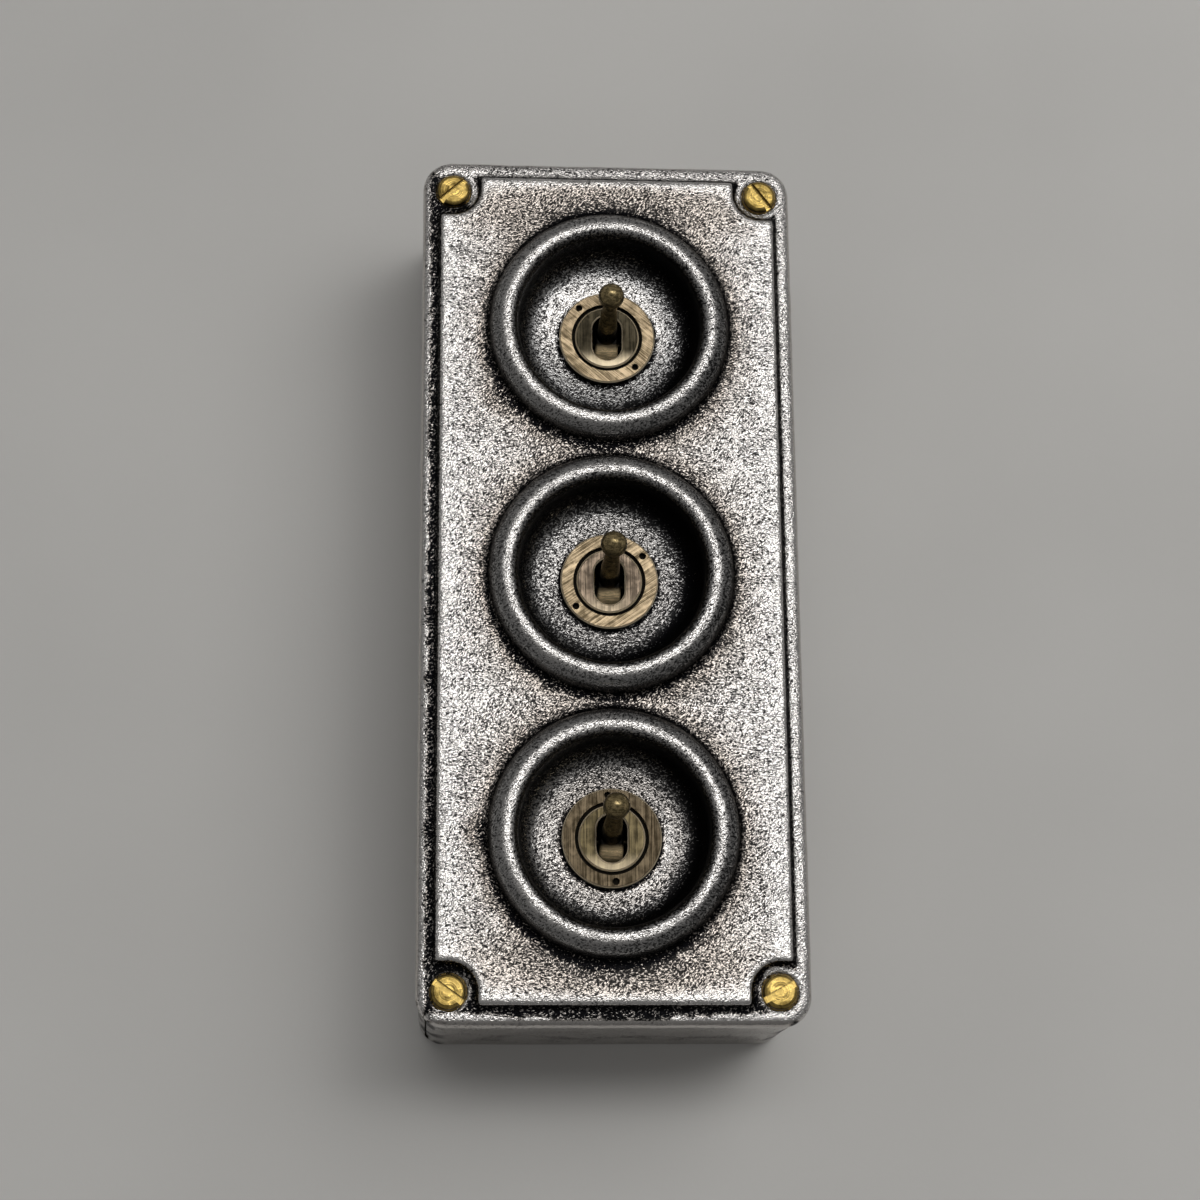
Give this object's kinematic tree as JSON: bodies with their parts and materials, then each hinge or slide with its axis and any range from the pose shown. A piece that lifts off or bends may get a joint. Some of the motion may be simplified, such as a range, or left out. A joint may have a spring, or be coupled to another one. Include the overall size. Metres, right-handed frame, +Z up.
{
  "type": "toggle light switch",
  "caption": "Surface-mounted toggle light switch: ball-ended brass levers in bead-rimmed wells on a cast, dark-patinated cover over a deep cast back box.",
  "frame": {"origin": "centre of the flat back face that goes against the wall", "axes": "+Z up the wall, +X to the right as seen from the room, -Y out into the room"},
  "size_m": [0.096, 0.0667, 0.225],
  "materials": {
    "cast_metal": "cast, black patina, worn bright",
    "polished_brass": "turned and polished",
    "antique_brass": "brushed, aged dark",
    "plain_brass": "plain",
    "steel": "zinc plated",
    "moulded": "moulded, dark"
  },
  "bodies": {
    "case": {"back_box": "cast_metal", "cover_plate": "cast_metal", "cover_screws": "polished_brass", "earth_screw": "plain_brass", "earth_washer": "steel", "dress_ring_top": "antique_brass", "lock_washer_top": "steel", "back_nut_top": "plain_brass", "bush_top": "antique_brass", "pivot_pin_top": "steel", "switch_frame_top": "steel", "switch_body_top": "moulded", "common_terminal_top": "plain_brass", "side_terminals_top": "plain_brass", "terminal_screws_top": "plain_brass", "dress_ring_middle": "antique_brass", "lock_washer_middle": "steel", "back_nut_middle": "plain_brass", "bush_middle": "antique_brass", "pivot_pin_middle": "steel", "switch_frame_middle": "steel", "switch_body_middle": "moulded", "common_terminal_middle": "plain_brass", "side_terminals_middle": "plain_brass", "terminal_screws_middle": "plain_brass", "dress_ring_bottom": "antique_brass", "lock_washer_bottom": "steel", "back_nut_bottom": "plain_brass", "bush_bottom": "antique_brass", "pivot_pin_bottom": "steel", "switch_frame_bottom": "steel", "switch_body_bottom": "moulded", "common_terminal_bottom": "plain_brass", "side_terminals_bottom": "plain_brass", "terminal_screws_bottom": "plain_brass"},
    "toggle_top": {"lever_top": "antique_brass", "lever_spring_top": "steel"},
    "plunger_top": {"plunger_top": "plain_brass"},
    "rocker_top": {"rocker_top": "plain_brass"},
    "toggle_middle": {"lever_middle": "antique_brass", "lever_spring_middle": "steel"},
    "plunger_middle": {"plunger_middle": "plain_brass"},
    "rocker_middle": {"rocker_middle": "plain_brass"},
    "toggle_bottom": {"lever_bottom": "antique_brass", "lever_spring_bottom": "steel"},
    "plunger_bottom": {"plunger_bottom": "plain_brass"},
    "rocker_bottom": {"rocker_bottom": "plain_brass"}
  },
  "joints": [
    {"name": "toggle_top", "type": "hinge", "parent": "case", "child": "toggle_top", "pos_m": [0, -0.041, 0.0658], "axis": [1, 0, 0], "range_deg": [0, 25]},
    {"name": "rocker_top", "type": "hinge", "parent": "case", "child": "rocker_top", "pos_m": [0, -0.0224, 0.0658], "axis": [1, 0, 0], "range_deg": [-20, 0]},
    {"name": "plunger_top", "type": "slide", "parent": "toggle_top", "child": "plunger_top", "axis": [0, -0.9763, 0.2164], "range_m": [0, 0.0008], "stiffness_N_per_m": 400, "deforming": ["lever_spring_top"]},
    {"name": "toggle_middle", "type": "hinge", "parent": "case", "child": "toggle_middle", "pos_m": [0, -0.041, 0], "axis": [1, 0, 0], "range_deg": [0, 25]},
    {"name": "rocker_middle", "type": "hinge", "parent": "case", "child": "rocker_middle", "pos_m": [0, -0.0224, 0], "axis": [1, 0, 0], "range_deg": [-20, 0]},
    {"name": "plunger_middle", "type": "slide", "parent": "toggle_middle", "child": "plunger_middle", "axis": [0, -0.9763, 0.2164], "range_m": [0, 0.0008], "stiffness_N_per_m": 400, "deforming": ["lever_spring_middle"]},
    {"name": "toggle_bottom", "type": "hinge", "parent": "case", "child": "toggle_bottom", "pos_m": [0, -0.041, -0.0658], "axis": [1, 0, 0], "range_deg": [0, 25]},
    {"name": "rocker_bottom", "type": "hinge", "parent": "case", "child": "rocker_bottom", "pos_m": [0, -0.0224, -0.0658], "axis": [1, 0, 0], "range_deg": [-20, 0]},
    {"name": "plunger_bottom", "type": "slide", "parent": "toggle_bottom", "child": "plunger_bottom", "axis": [0, -0.9763, 0.2164], "range_m": [0, 0.0008], "stiffness_N_per_m": 400, "deforming": ["lever_spring_bottom"]}
  ],
  "couplings": [
    {"joint": "rocker_top", "follows": "toggle_top", "ratio": -0.8},
    {"joint": "rocker_middle", "follows": "toggle_middle", "ratio": -0.8},
    {"joint": "rocker_bottom", "follows": "toggle_bottom", "ratio": -0.8}
  ]
}
